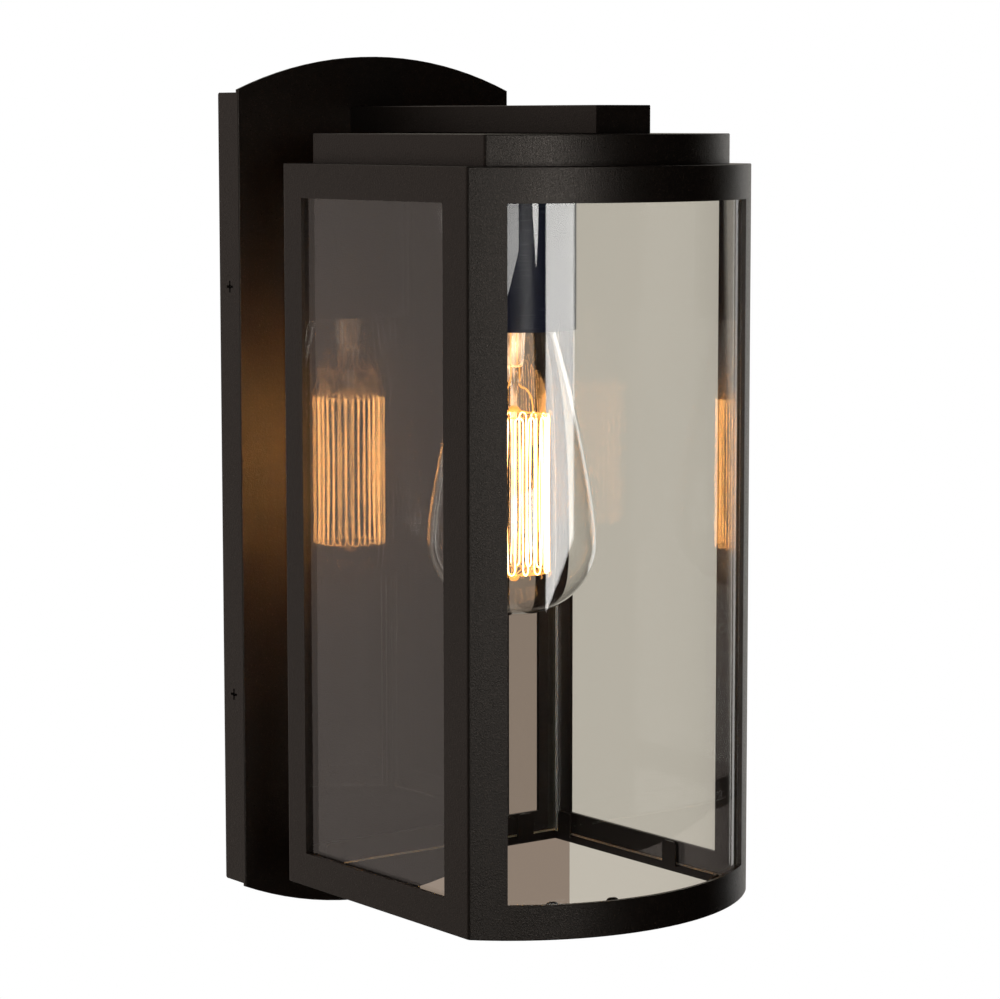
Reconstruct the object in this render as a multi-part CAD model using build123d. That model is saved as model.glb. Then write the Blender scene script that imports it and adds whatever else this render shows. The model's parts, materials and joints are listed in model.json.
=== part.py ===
from build123d import *
from dataclasses import dataclass
from math import asin, cos, degrees, radians, sin, sqrt
import os

# Outdoor wall lantern. All sizes are in millimetres.
# Frame: the origin is the centre of the backplate on the wall plane, +Z is up, +Y points into the
# wall and the lantern stands out along -Y. +X is to the right of a person who faces the wall.

# ---- driving dimensions: the backplate pan and its bracket ----
PLATE_WIDTH = 130.5
PLATE_SIDE_HEIGHT = 315.4  # straight part of the backplate's sides, between the two arched ends
PLATE_ARCH_RISE = 13.3
FLANGE_SHORT = 1.1  # from the arch's corners to the ends of the sides that are bent back
FLANGE_ROUND = 1.0
PLATE_DEPTH = 14.5
SHEET = 1.5  # steel sheet of the pan, frame, roof and arm
BRACKET_SHEET = 1.5
BRACKET_PLAY = 0.2  # from the bracket's ears to the pan's inner walls
BRACKET_BAR_WIDTH = 44.0
BRACKET_CROSS_HEIGHT = 22.0
BRACKET_EAR_DEPTH = 12.2
BRACKET_WIRE_HOLE_RADIUS = 8.0
BRACKET_WIRE_HOLE_HEIGHT = 19.0  # each side of the centre
BOX_SLOT_SPACING = 88.9  # the two screws of a wall outlet box
BOX_SLOT_RADIUS = 2.4
BOX_SLOT_LENGTH = 14.0
GROUND_SCREW_RADIUS = 2.0
GROUND_SCREW_OFFSET = 15.0
GROUND_HEAD_RADIUS = 4.2
GROUND_HEAD_HEIGHT = 3.0

# ---- driving dimensions: the side screws that hold the pan on the bracket ----
SIDE_SCREW_HEIGHT = 81.0  # above and below the centre
SIDE_SCREW_HEAD_RADIUS = 4.35
SIDE_SCREW_HEAD_HEIGHT = 2.35
SIDE_SCREW_RADIUS = 2.0
SIDE_SCREW_LENGTH = 9.0
SCREW_CLEARANCE = 0.05
RECESS_WIDTH = 0.95  # one arm of the cross recess
RECESS_SPAN = 4.6
RECESS_DEPTH = 1.1

# ---- driving dimensions: the lantern body, D-shaped in plan ----
BODY_WIDTH = 132.4
BODY_SIDE_DEPTH = 119.5  # straight side, from the back to the front bend
BODY_BOW_RISE = 28.2  # how far the bowed front stands past the two front bends
BODY_HEIGHT = 278.5
ARCH_ABOVE_BODY = 28.1  # from the body's top up to where the backplate's arch begins
BODY_GAP = 32.5  # from the backplate's face to the body's back
BAND_HEIGHT = 13.0
BEND_RADIUS = 2.2  # outside radius of the front bends
BACK_BEND_RADIUS = 1.6
POST_BACK_SIDE = 13.0  # back post, width on the side
POST_BACK_REAR = 11.2  # back post, width on the back
POST_FRONT_SIDE = 14.8  # front post, width on the side
POST_FRONT_BOW = 10.7  # front post, width across the bow
EDGE_SOFTENING = 0.45  # rounding that the paint leaves on the outer edges

# ---- driving dimensions: the stepped roof and the arm ----
UPPER_INSET = 9.1  # the upper roof step, in from the body's sides
UPPER_BACK_INSET = 6.7
UPPER_CORNER_INSET = 1.8
UPPER_FRONT_INSET = 9.1
UPPER_HEIGHT = 11.25
ARM_WIDTH = 25.1
ARM_HEIGHT = 10.4
ARM_REACH = 172.0  # from the wall plane to the arm's front end
ARM_BLOCK_THICKNESS = 4.0
ARM_SCREW_SPACING = 15.6
ARM_SCREW_RADIUS = 1.5
ARM_SCREW_HEAD_RADIUS = 2.8
ARM_SCREW_HEAD_HEIGHT = 1.8
WIRE_HOLE_WALL = 0.2  # left above and below the wire hole in the arm
WIRE_HOLE_SPREAD = 2.0  # each side of the middle to the centre of its round ends

# ---- driving dimensions: glass and the tabs that hold it ----
GLASS = 3.0
GLASS_PLAY = 0.2
GLASS_EDGE_GAP = 0.5
GLASS_FOOT = 4.2  # from the body's lower edge up to the glass
TAB_SHEET = 0.8
TAB_HEIGHT = 9.0
TAB_WIDTH = 8.0
TAB_NARROW = 5.0
TAB_ROUND = 1.8
WELD_GAP = 0.01
FRONT_TABS = (-40.3, -17.9, 37.0)  # across the bow
SIDE_TABS = (12.5, 80.0)  # back from the body's back face
BACK_TABS = (-46.0, 46.0)
TOP_FRONT_TABS = (-38.0, 38.0)

# ---- driving dimensions: lamp holder ----
LAMP_SETBACK = 58.9  # lamp axis, from the body's back
CUP_RADIUS = 23.75
CUP_WALL = 1.0
CUP_HEIGHT = 61.2
NIPPLE_RADIUS = 5.0
NIPPLE_BORE = 3.6
NIPPLE_PLAY = 0.05
NIPPLE_DROP = 14.0  # below the roof's top
NUT_RADIUS = 8.2  # across the corners
NUT_HEIGHT = 2.5
HOLDER_RADIUS = 19.5
HOLDER_COVER_HEIGHT = 15.0
HOLDER_COVER_WALL = 2.5
HOLDER_FLOOR = 4.0
HOLDER_SKIRT = 26.5  # lamp holder body below its floor
SHELL_BORE = 13.35
SHELL_WALL = 0.5
SHELL_HOLE_RADIUS = 6.5
TONGUE_WIDTH = 5.0
TONGUE_SHEET = 0.4
TERMINAL_OFFSET = 7.0
TERMINAL_SIZE = 6.0
TERMINAL_SHEET = 0.7

# ---- driving dimensions: the lamp, an ST64 with an E26 cap ----
CAP_PLAY = 0.07  # radial, cap thread to holder shell
CAP_LENGTH = 20.0
CAP_WALL = 0.45
CAP_THREAD_PITCH = 3.629
CAP_THREAD_DEPTH = 0.7
CAP_SINK = 6.1  # the cap's rim above the cup's lower edge
INSULATOR_HEIGHT = 4.6
INSULATOR_TOP_RADIUS = 5.5
LAMP_TIP_RADIUS = 4.5
LAMP_TIP_HEIGHT = 1.4
TONGUE_GAP = 0.25
LAMP_RADIUS = 32.0
LAMP_GLASS = 0.8
NECK_PLAY = 0.05
LAMP_SHOULDERS = ((3.0, 14.6), (7.4, 15.9), (33.4, 22.8), (64.4, 29.3))  # (below the cap rim, radius)
LAMP_SHOULDER_LEAN = (0.3, -1)
LAMP_NECK = 6.0  # how far the glass neck reaches into the cap
LAMP_WIDEST = 88.4  # below the cap rim
LAMP_DOME = 27.4
STEM_FLARE = 8.5
STEM_RADIUS = 4.2
STEM_LENGTH = 26.0
STEM_ROD_RADIUS = 1.1
CAGE_RADIUS = 13.5
CAGE_TOP = 39.0  # below the cap rim
CAGE_LENGTH = 60.0
CAGE_STRANDS = 20
FILAMENT_RADIUS = 0.25
SUPPORT_RADIUS = 0.3
LEAD_WIRE_RADIUS = 0.4

# ---- driving dimensions: internal leads ----
LEAD_RADIUS = 0.8
LEAD_OFFSET = 1.7
LEAD_BEND = 3.0
LEAD_ROOM = 1.1  # from a lead to the arm's upper sheet
LEAD_DROP_BEND = 5.0
CONNECTOR_OFFSET = 6.5
CONNECTOR_RADIUS = 4.2
CONNECTOR_HEIGHT = 18.0
CONNECTOR_DROP = 24.0  # below the leads' level in the arm

# ---- places that follow from them ----
PLATE_FACE = -PLATE_DEPTH
BODY_BACK = PLATE_FACE - BODY_GAP
BODY_TOP = PLATE_SIDE_HEIGHT / 2 - ARCH_ABOVE_BODY
BODY_BOTTOM = BODY_TOP - BODY_HEIGHT
WINDOW_TOP = BODY_TOP - BAND_HEIGHT
WINDOW_BOTTOM = BODY_BOTTOM + BAND_HEIGHT
ARM_BOTTOM = BODY_TOP + UPPER_HEIGHT
ARM_TOP = ARM_BOTTOM + ARM_HEIGHT
ARM_MIDDLE = (ARM_BOTTOM + ARM_TOP) / 2
WIRE_HOLE_RADIUS = ARM_HEIGHT / 2 - SHEET - WIRE_HOLE_WALL
LEAD_LEVEL = ARM_TOP - SHEET - LEAD_ROOM - LEAD_RADIUS
LEAD_PAN_Y = (PLATE_FACE - SHEET) / 2
LAMP_Y = BODY_BACK - LAMP_SETBACK
CUP_TOP = BODY_TOP - SHEET
CUP_BOTTOM = CUP_TOP - CUP_HEIGHT
CAP_RIM = CUP_BOTTOM + CAP_SINK
CAP_END = CAP_RIM + CAP_LENGTH
TIP_TOP = CAP_END + INSULATOR_HEIGHT + LAMP_TIP_HEIGHT
HOLDER_UNDER_FLOOR = TIP_TOP + TONGUE_GAP + TONGUE_SHEET + SHELL_WALL
HOLDER_TOP = HOLDER_UNDER_FLOOR + HOLDER_FLOOR
HOLDER_BOTTOM = HOLDER_UNDER_FLOOR - HOLDER_SKIRT
COVER_TOP = HOLDER_TOP + HOLDER_COVER_HEIGHT
NIPPLE_TOP = ARM_BOTTOM + SHEET + NUT_HEIGHT
NIPPLE_BOTTOM = BODY_TOP - NIPPLE_DROP
CAP_RADIUS = SHELL_BORE - CAP_PLAY
NECK_RADIUS = CAP_RADIUS - CAP_THREAD_DEPTH - CAP_WALL - NECK_PLAY
GLASS_BOTTOM = BODY_BOTTOM + GLASS_FOOT
GLASS_TOP = BODY_TOP - SHEET - TAB_SHEET - GLASS_PLAY
PANE_FACE = SHEET + GLASS_PLAY  # from the body's outside to the outside of the glass
CUT = 5.0  # how far a cutting tool runs past what it cuts


# ---- shapes that repeat ----
def block(x0, x1, y0, y1, z0, z1):
    """A box between two corners."""
    middle = Pos((x0 + x1) / 2, (y0 + y1) / 2, (z0 + z1) / 2)
    return middle * Box(abs(x1 - x0), abs(y1 - y0), abs(z1 - z0))


def rod(radius, z0, z1, x=0.0, y=0.0):
    """An upright cylinder."""
    return Pos(x, y, (z0 + z1) / 2) * Cylinder(radius, abs(z1 - z0))


def rod_y(radius, y0, y1, x, z):
    """A cylinder along Y."""
    return Pos(x, (y0 + y1) / 2, z) * Rot(90, 0, 0) * Cylinder(radius, abs(y1 - y0))


def at_lamp(shape):
    """The shape moved from the Z axis to the lamp's axis."""
    return Pos(0, LAMP_Y, 0) * shape


def turned(points):
    """A solid of revolution about Z from (radius, height) points of its half section."""
    return revolve(make_face(Plane.XZ * Polyline(*points, close=True)), Axis.Z)


@dataclass(frozen=True)
class BowPlan:
    """A D-shaped plan: a straight back and sides, and a bowed front through two corners and an apex."""

    half_width: float
    back: float
    corner: float
    apex: float

    @property
    def radius(self):
        rise = self.corner - self.apex
        return (self.half_width**2 + rise**2) / (2 * rise)

    @property
    def centre(self):
        return self.apex + self.radius

    def front_at(self, x):
        """Y of the bow at x."""
        return self.centre - sqrt(self.radius**2 - x**2)

    def inset(self, wall):
        """The same plan, a wall further in, with its bow about the same centre."""
        half = self.half_width - wall
        corner = self.centre - sqrt((self.radius - wall) ** 2 - half**2)
        return BowPlan(half, self.back - wall, corner, self.apex + wall)

    def slab(self, z0, z1, bend, back_bend):
        """The plan raised from z0 to z1, with its front and back corners bent."""
        half = self.half_width
        sides = Polyline((-half, self.corner), (-half, self.back), (half, self.back), (half, self.corner))
        bow = ThreePointArc((half, self.corner), (0, self.apex), (-half, self.corner))
        face = make_face(sides + bow)
        if back_bend > 0:
            face = fillet(face.vertices().sort_by(Axis.Y)[-2:], back_bend)
        if bend > 0:
            low = face.vertices().sort_by(Axis.Y)[:2]
            face = fillet(low, bend)
        return Pos(0, 0, z0) * extrude(face, amount=z1 - z0)


BODY_PLAN = BowPlan(BODY_WIDTH / 2, BODY_BACK, BODY_BACK - BODY_SIDE_DEPTH,
                    BODY_BACK - BODY_SIDE_DEPTH - BODY_BOW_RISE)
UPPER_PLAN = BowPlan(BODY_WIDTH / 2 - UPPER_INSET, BODY_BACK - UPPER_BACK_INSET,
                     BODY_PLAN.corner + UPPER_CORNER_INSET, BODY_PLAN.apex + UPPER_FRONT_INSET)
PANE_PLAN = BODY_PLAN.inset(PANE_FACE)


def sheet_ring(plan, z0, z1):
    """A band of sheet that follows the plan."""
    outer = plan.slab(z0, z1, BEND_RADIUS, BACK_BEND_RADIUS)
    inner = plan.inset(SHEET).slab(z0 - CUT, z1 + CUT, BEND_RADIUS - SHEET, BACK_BEND_RADIUS - SHEET)
    return outer - inner


def folded_lid(plan, z0, z1):
    """A lid with a skirt: a top sheet over a ring of the same plan, open below."""
    outer = plan.slab(z0, z1, BEND_RADIUS, BACK_BEND_RADIUS)
    outer = fillet(outer.edges().group_by(Axis.Z)[-1], EDGE_SOFTENING)
    inner = plan.inset(SHEET).slab(z0 - CUT, z1 - SHEET, BEND_RADIUS - SHEET, BACK_BEND_RADIUS - SHEET)
    return outer - inner


def arched_sheet():
    """The backplate's face: a flat sheet with straight sides and two arched ends."""
    side = PLATE_WIDTH / 2
    spring = PLATE_SIDE_HEIGHT / 2
    crown = spring + PLATE_ARCH_RISE
    upper = ThreePointArc((-side, spring), (0, crown), (side, spring))
    right = Line((side, spring), (side, -spring))
    lower = ThreePointArc((side, -spring), (0, -crown), (-side, -spring))
    left = Line((-side, -spring), (-side, spring))
    face = make_face(upper + right + lower + left)
    return Pos(0, PLATE_FACE + SHEET, 0) * extrude(Plane.XZ * face, amount=SHEET)


def cross_recess(span, depth):
    """A Phillips recess that goes down from z = 0."""
    arm = Pos(0, 0, -depth / 2) * Box(span, RECESS_WIDTH, depth)
    return arm + Rot(0, 0, 90) * arm + Pos(0, 0, -depth * 1.4 / 2) * Cylinder(RECESS_WIDTH, depth * 1.4)


def side_screw(spare=0.0):
    """A countersunk screw that points down from its flat face at z = 0. spare makes it a cutter."""
    head_low = SIDE_SCREW_RADIUS + spare
    head_high = SIDE_SCREW_HEAD_RADIUS + spare
    head = Pos(0, 0, -SIDE_SCREW_HEAD_HEIGHT / 2) * Cone(head_low, head_high, SIDE_SCREW_HEAD_HEIGHT)
    shank = rod(head_low, -SIDE_SCREW_LENGTH - spare, -SIDE_SCREW_HEAD_HEIGHT / 2)
    return head + shank


def on_side_screws(shape):
    """The shape at the four places of the side screws, its -Z pointing into the pan."""
    y = PLATE_FACE / 2
    return [
        Pos(side * PLATE_WIDTH / 2, y, level * SIDE_SCREW_HEIGHT) * Rot(0, side * 90, 0) * shape
        for side in (-1, 1)
        for level in (-1, 1)
    ]


def glass_tab(width, flip=False, hollow=0.0):
    """A bent tab that holds a pane: x runs along the pane, y inwards from its outer face, and z = 0 is the
    pane's edge. flip turns it over, for the upper edge. hollow is how far the band bows away from the foot."""
    inner = GLASS + GLASS_PLAY
    foot = block(-width / 2, width / 2, hollow - GLASS_PLAY, inner + TAB_SHEET, -TAB_SHEET, 0)
    upright = block(-width / 2, width / 2, inner, inner + TAB_SHEET, -TAB_SHEET, TAB_HEIGHT)
    tips = upright.edges().filter_by(Axis.Y).group_by(Axis.Z)[-1]
    tab = foot + fillet(tips, TAB_ROUND)
    return Rot(0, 180, 0) * tab if flip else tab


def on_bow(x, shape):
    """The shape carried round the bow's centre until it faces the pane at x. Its y = 0 is the pane's face."""
    turn = degrees(asin(x / PANE_PLAN.radius))
    return Pos(0, PANE_PLAN.centre, 0) * Rot(0, 0, turn) * Pos(0, -PANE_PLAN.radius, 0) * shape


def arm_holes(y0, y1):
    """The tools for the rounded wire hole and the two arm-screw holes, from y0 to y1."""
    slot = SlotCenterToCenter(2 * WIRE_HOLE_SPREAD, 2 * WIRE_HOLE_RADIUS)
    tools = extrude(Plane.XZ * Pos(0, ARM_MIDDLE) * slot, amount=y1 - y0)
    tools = Pos(0, y1, 0) * tools
    for side in (-1, 1):
        tools += rod_y(ARM_SCREW_RADIUS + SCREW_CLEARANCE, y0, y1, side * ARM_SCREW_SPACING / 2, ARM_MIDDLE)
    return tools


# ---- wall side ----
def wall_bracket():
    """A flat bar with two cross arms whose ends are bent into ears for the side screws."""
    half_bar = BRACKET_BAR_WIDTH / 2
    reach = PLATE_WIDTH / 2 - SHEET - BRACKET_PLAY
    top = SIDE_SCREW_HEIGHT + BRACKET_CROSS_HEIGHT / 2
    body = block(-half_bar, half_bar, -BRACKET_SHEET, 0, -top, top)
    for level in (-1, 1):
        low = level * SIDE_SCREW_HEIGHT - BRACKET_CROSS_HEIGHT / 2
        high = low + BRACKET_CROSS_HEIGHT
        body += block(-reach, reach, -BRACKET_SHEET, 0, low, high)
        for side in (-1, 1):
            body += block(side * reach, side * (reach - BRACKET_SHEET), -BRACKET_EAR_DEPTH, 0, low, high)
        hole = level * BRACKET_WIRE_HOLE_HEIGHT
        body -= rod_y(BRACKET_WIRE_HOLE_RADIUS, -CUT, CUT, 0, hole)
        slot = SlotOverall(BOX_SLOT_LENGTH, 2 * BOX_SLOT_RADIUS, rotation=90)
        tool = extrude(Plane.XZ * Pos(0, level * BOX_SLOT_SPACING / 2) * slot, amount=CUT, both=True)
        body -= tool
    for cutter in on_side_screws(side_screw(SCREW_CLEARANCE)):
        body -= cutter
    return body - rod_y(GROUND_SCREW_RADIUS, -CUT, CUT, GROUND_SCREW_OFFSET, 0)


def ground_screw():
    """A hexagon-head earth screw in the bracket, flush with the wall plane behind."""
    head = extrude(RegularPolygon(GROUND_HEAD_RADIUS, 6), amount=GROUND_HEAD_HEIGHT)
    slot = Pos(0, 0, GROUND_HEAD_HEIGHT) * Box(2 * GROUND_HEAD_RADIUS, RECESS_WIDTH, RECESS_DEPTH * 2)
    screw = Pos(0, 0, BRACKET_SHEET) * (head - slot) + rod(GROUND_SCREW_RADIUS, 0, BRACKET_SHEET)
    return Pos(GROUND_SCREW_OFFSET, 0, 0) * Rot(90, 0, 0) * screw


def backplate():
    """A sheet with arched ends whose two straight sides are bent back to the wall."""
    half = PLATE_WIDTH / 2
    end = PLATE_SIDE_HEIGHT / 2 - FLANGE_SHORT
    pan = arched_sheet()
    for side in (-1, 1):
        flange = block(side * half, side * (half - SHEET), PLATE_FACE, 0, -end, end)
        pan += fillet(flange.edges().filter_by(Axis.X).group_by(Axis.Y)[-1], FLANGE_ROUND)
    pan = fillet(pan.edges().group_by(Axis.Y)[0], EDGE_SOFTENING)
    for cutter in on_side_screws(side_screw(SCREW_CLEARANCE)):
        pan -= cutter
    return pan - arm_holes(PLATE_FACE - CUT, PLATE_FACE + CUT)


def side_screws():
    """The four screws through the pan's sides into the bracket's ears."""
    return Compound(children=on_side_screws(side_screw() - cross_recess(RECESS_SPAN, RECESS_DEPTH)))


# ---- arm and roof ----
def arm():
    """A box of folded sheet, closed in front and open to the pan behind."""
    half = ARM_WIDTH / 2
    box = block(-half, half, -ARM_REACH, PLATE_FACE, ARM_BOTTOM, ARM_TOP)
    box = fillet(box.edges().filter_by(Axis.Y), EDGE_SOFTENING)
    inner = block(-half + SHEET, half - SHEET, -ARM_REACH + SHEET, PLATE_FACE + CUT,
                  ARM_BOTTOM + SHEET, ARM_TOP - SHEET)
    nipple_hole = at_lamp(rod(NIPPLE_RADIUS + NIPPLE_PLAY, ARM_BOTTOM - CUT, ARM_BOTTOM + SHEET + CUT / 2))
    return box - inner - nipple_hole


def arm_end_block():
    """The tapped block in the arm's open end that the arm screws pull on."""
    half = ARM_WIDTH / 2 - SHEET
    front = PLATE_FACE - ARM_BLOCK_THICKNESS
    body = block(-half, half, front, PLATE_FACE, ARM_BOTTOM + SHEET, ARM_TOP - SHEET)
    return body - arm_holes(front - CUT, PLATE_FACE + CUT)


def arm_screws():
    """Two pan-head screws from inside the pan into the arm's end block."""
    inside = PLATE_FACE + SHEET
    head = Pos(0, 0, ARM_SCREW_HEAD_HEIGHT / 2) * Cylinder(ARM_SCREW_HEAD_RADIUS, ARM_SCREW_HEAD_HEIGHT)
    head = fillet(head.edges().group_by(Axis.Z)[-1], ARM_SCREW_HEAD_HEIGHT / 3)
    head -= Pos(0, 0, ARM_SCREW_HEAD_HEIGHT) * cross_recess(ARM_SCREW_HEAD_RADIUS, RECESS_DEPTH)
    screw = head + rod(ARM_SCREW_RADIUS, -SHEET - ARM_BLOCK_THICKNESS, 0)
    return Compound(children=[
        Pos(side * ARM_SCREW_SPACING / 2, inside, ARM_MIDDLE) * Rot(-90, 0, 0) * screw for side in (-1, 1)
    ])


def roof_upper():
    """The upper step of the roof, a D-shaped lid that stands on the roof cap."""
    lid = folded_lid(UPPER_PLAN, BODY_TOP, ARM_BOTTOM)
    return lid - at_lamp(rod(NIPPLE_RADIUS + NIPPLE_PLAY, BODY_TOP, ARM_BOTTOM + CUT))


def roof_cap():
    """The lower step of the roof: the body's lid, whose skirt is the frame's top band."""
    lid = folded_lid(BODY_PLAN, WINDOW_TOP, BODY_TOP)
    return lid - at_lamp(rod(NIPPLE_RADIUS + NIPPLE_PLAY, WINDOW_TOP, BODY_TOP + CUT))


# ---- body frame ----
def back_post(side):
    """An angle post at a back corner, between the two bands."""
    ring = sheet_ring(BODY_PLAN, WINDOW_BOTTOM, WINDOW_TOP)
    outside = side * (BODY_PLAN.half_width + CUT)
    inside = side * (BODY_PLAN.half_width - POST_BACK_REAR)
    return ring & block(outside, inside, BODY_BACK + CUT, BODY_BACK - POST_BACK_SIDE, WINDOW_BOTTOM, WINDOW_TOP)


def front_post(side):
    """A bent post at a front corner. Its bow flange is cut square to the sheet."""
    ring = sheet_ring(BODY_PLAN, WINDOW_BOTTOM, WINDOW_TOP)
    x = BODY_PLAN.half_width - POST_FRONT_BOW
    y = BODY_PLAN.front_at(x)
    out_x = x / BODY_PLAN.radius * CUT
    out_y = (y - BODY_PLAN.centre) / BODY_PLAN.radius * CUT
    rear = BODY_PLAN.corner + POST_FRONT_SIDE
    outside = BODY_PLAN.half_width + CUT
    corners = [(x + out_x, y + out_y), (x - out_x, y - out_y), (BODY_PLAN.half_width - CUT, rear),
               (outside, rear), (outside, y + out_y)]
    region = extrude(make_face(Polyline(*corners, close=True)), amount=BODY_HEIGHT)
    region = Pos(0, 0, BODY_BOTTOM) * region
    return ring & (region if side > 0 else mirror(region, Plane.YZ))


def bottom_band():
    """The lower band of the frame, an open ring."""
    ring = sheet_ring(BODY_PLAN, BODY_BOTTOM, WINDOW_BOTTOM)
    outer = ring.faces().sort_by(Axis.Z)[0].outer_wire().edges()
    return fillet(outer, EDGE_SOFTENING)


# ---- glass ----
def side_glass(side):
    """A flat side pane."""
    face = PANE_PLAN.half_width
    rear = PANE_PLAN.back - GLASS - GLASS_EDGE_GAP
    front = PANE_PLAN.corner + BEND_RADIUS / 2
    return block(side * face, side * (face - GLASS), rear, front, GLASS_BOTTOM, GLASS_TOP)


def back_glass():
    """The flat back pane."""
    half = PANE_PLAN.half_width - GLASS_EDGE_GAP
    return block(-half, half, PANE_PLAN.back, PANE_PLAN.back - GLASS, GLASS_BOTTOM, GLASS_TOP)


def front_glass():
    """The bent front pane, an arc about the bow's centre with its ends cut square."""
    centre = PANE_PLAN.centre
    turn = asin((PANE_PLAN.half_width - GLASS - GLASS_EDGE_GAP) / PANE_PLAN.radius)
    outer, inner = PANE_PLAN.radius, PANE_PLAN.radius - GLASS
    ends = [(r * sin(turn), centre - r * cos(turn)) for r in (outer, inner)]
    (ox, oy), (ix, iy) = ends
    outline = ThreePointArc((-ox, oy), (0, centre - outer), (ox, oy)) + Line((ox, oy), (ix, iy))
    outline += ThreePointArc((ix, iy), (0, centre - inner), (-ix, iy)) + Line((-ix, iy), (-ox, oy))
    return Pos(0, 0, GLASS_BOTTOM) * extrude(make_face(outline), amount=GLASS_TOP - GLASS_BOTTOM)


def tabs_around(flip, level, front_places):
    """All tabs of one edge: two on each side and on the back, and those of the bow."""
    tabs = []
    hollow = (TAB_NARROW / 2) ** 2 / (2 * PANE_PLAN.radius) + WELD_GAP
    for x in front_places:
        tabs.append(on_bow(x, glass_tab(TAB_NARROW, flip, hollow)))
    for side in (-1, 1):
        for setback in SIDE_TABS:
            place = Pos(side * PANE_PLAN.half_width, BODY_BACK - setback, 0) * Rot(0, 0, side * 90)
            tabs.append(place * glass_tab(TAB_WIDTH, flip))
    for x in BACK_TABS:
        tabs.append(Pos(x, PANE_PLAN.back, 0) * Rot(0, 0, 180) * glass_tab(TAB_WIDTH, flip))
    return Compound(children=[Pos(0, 0, level) * tab for tab in tabs])


def glass_tabs_bottom():
    """The tabs inside the bottom band."""
    return tabs_around(False, GLASS_BOTTOM, FRONT_TABS)


def glass_tabs_top():
    """The tabs under the roof cap."""
    return tabs_around(True, GLASS_TOP + GLASS_PLAY, TOP_FRONT_TABS)


# ---- lamp holder ----
def nipple():
    """The hollow threaded tube that clamps the arm, both roof steps, the cup and the holder."""
    return at_lamp(rod(NIPPLE_RADIUS, NIPPLE_BOTTOM, NIPPLE_TOP)
                   - rod(NIPPLE_BORE, NIPPLE_BOTTOM - CUT, NIPPLE_TOP + CUT))


def nipple_nut():
    """The hexagon nut inside the arm."""
    nut = extrude(RegularPolygon(NUT_RADIUS, 6), amount=NUT_HEIGHT)
    nut -= rod(NIPPLE_RADIUS + NIPPLE_PLAY, -CUT, NUT_HEIGHT + CUT)
    return at_lamp(Pos(0, 0, ARM_BOTTOM + SHEET) * nut)


def socket_cup():
    """The deep cup that hides the lamp holder, open below."""
    outer = rod(CUP_RADIUS, CUP_BOTTOM, CUP_TOP)
    outer = fillet(outer.edges().group_by(Axis.Z)[-1], CUP_WALL * 2)
    inner = rod(CUP_RADIUS - CUP_WALL, CUP_BOTTOM - CUT, CUP_TOP - CUP_WALL)
    inner = fillet(inner.edges().group_by(Axis.Z)[-1], CUP_WALL)
    return at_lamp(outer - inner - rod(NIPPLE_RADIUS + NIPPLE_PLAY, CUP_TOP - CUT, CUP_TOP + CUT))


def socket_cover():
    """The upper half of the lamp holder, screwed on the nipple, with room for the terminals."""
    outer = rod(HOLDER_RADIUS, HOLDER_TOP, COVER_TOP)
    outer = fillet(outer.edges().group_by(Axis.Z)[-1], HOLDER_COVER_WALL)
    inner = rod(HOLDER_RADIUS - HOLDER_COVER_WALL, HOLDER_TOP - CUT, COVER_TOP - HOLDER_COVER_WALL)
    bore = rod(NIPPLE_RADIUS + NIPPLE_PLAY, HOLDER_TOP, COVER_TOP + CUT)
    return at_lamp(outer - inner - bore)


def socket_body():
    """The lower half of the lamp holder: a floor with the terminals above and a skirt round the shell."""
    outer = rod(HOLDER_RADIUS, HOLDER_BOTTOM, HOLDER_TOP)
    outer = fillet(outer.edges().group_by(Axis.Z)[0], HOLDER_COVER_WALL / 2)
    return at_lamp(outer - rod(SHELL_BORE + SHELL_WALL, HOLDER_BOTTOM - CUT, HOLDER_UNDER_FLOOR))


def socket_shell():
    """The screw shell, a thin metal cup with a hole in its end for the centre contact."""
    outer = rod(SHELL_BORE + SHELL_WALL, HOLDER_BOTTOM, HOLDER_UNDER_FLOOR)
    inner = rod(SHELL_BORE, HOLDER_BOTTOM - CUT, HOLDER_UNDER_FLOOR - SHELL_WALL)
    return at_lamp(outer - inner - rod(SHELL_HOLE_RADIUS, HOLDER_BOTTOM, HOLDER_UNDER_FLOOR + CUT))


def socket_centre_contact():
    """The folded tongue under the holder's floor that the lamp's tip meets."""
    half = TONGUE_WIDTH / 2
    under = HOLDER_UNDER_FLOOR
    low = TIP_TOP + TONGUE_GAP
    fixed = block(-SHELL_HOLE_RADIUS + 1, half, -half, half, under - TONGUE_SHEET, under)
    turn = block(half - TONGUE_SHEET, half, -half, half, low, under)
    tongue = block(-half, half, -half, half, low, low + TONGUE_SHEET)
    return at_lamp(fixed + turn + tongue)


def socket_terminals():
    """Two brass terminal plates on the holder's floor, each with its screw head."""
    plate = Pos(0, 0, TERMINAL_SHEET / 2) * Box(TERMINAL_SIZE, TERMINAL_SIZE * 2, TERMINAL_SHEET)
    head = rod(TERMINAL_SIZE / 3, TERMINAL_SHEET, TERMINAL_SHEET * 4, 0, TERMINAL_SIZE / 2)
    slot = Pos(0, TERMINAL_SIZE / 2, TERMINAL_SHEET * 4) * Box(TERMINAL_SIZE, RECESS_WIDTH, RECESS_DEPTH)
    terminal = plate + (head - slot)
    return at_lamp(Compound(children=[
        Pos(side * TERMINAL_OFFSET, 0, HOLDER_TOP) * terminal for side in (-1, 1)
    ]))


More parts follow.
